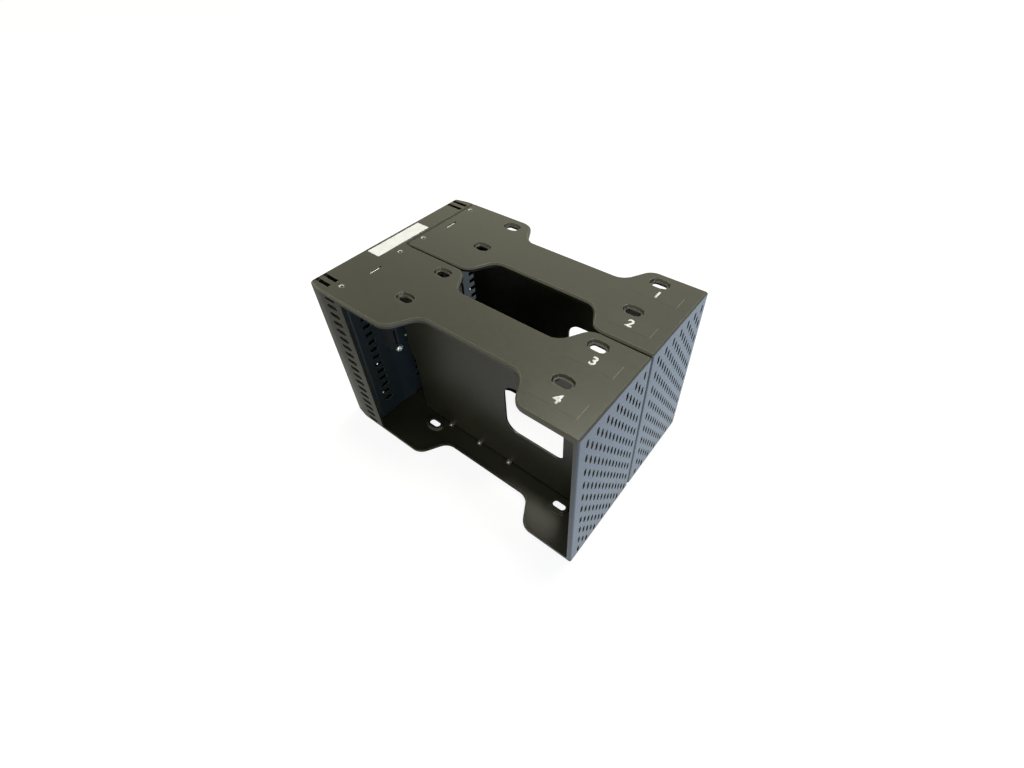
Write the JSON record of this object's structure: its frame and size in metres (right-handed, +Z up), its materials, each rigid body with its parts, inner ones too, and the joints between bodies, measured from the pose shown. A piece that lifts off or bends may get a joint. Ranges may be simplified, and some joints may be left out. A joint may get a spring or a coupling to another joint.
{
  "type": "hard drive cage",
  "caption": "Open steel cage that holds hard drives on edge, with waisted plates, slotted screw pockets, a perforated end and drive connectors at the other end.",
  "frame": {"origin": "middle of the cage's footprint, on the plane of the bottom plates", "axes": "+X from the connector end to the perforated end, +Y from the front bay to the rear bay, +Z up"},
  "size_m": [0.18, 0.121, 0.1073],
  "materials": {
    "painted_sheet": "satin powder coat",
    "connector_plastic": "moulded",
    "header_plastic": "moulded",
    "circuit_board": "solder resist",
    "bright_steel": "zinc plated",
    "spacer_brass": "plain"
  },
  "bodies": {
    "root": {"front_bracket": "painted_sheet", "rear_bracket": "painted_sheet", "end_panel": "painted_sheet", "front_web": "painted_sheet", "rear_web": "painted_sheet", "front_connector_wall": "painted_sheet", "rear_connector_wall": "painted_sheet", "wall_rivets": "painted_sheet", "board_screws": "bright_steel", "board_standoffs": "spacer_brass", "front_backplane_board": "circuit_board", "front_power_header": "header_plastic", "front_data_headers": "header_plastic", "rear_backplane_board": "circuit_board", "rear_power_header": "header_plastic", "rear_data_headers": "header_plastic", "bay_4_receptacle": "connector_plastic", "bay_3_receptacle": "connector_plastic", "bay_2_receptacle": "connector_plastic", "bay_1_receptacle": "connector_plastic"}
  },
  "joints": []
}
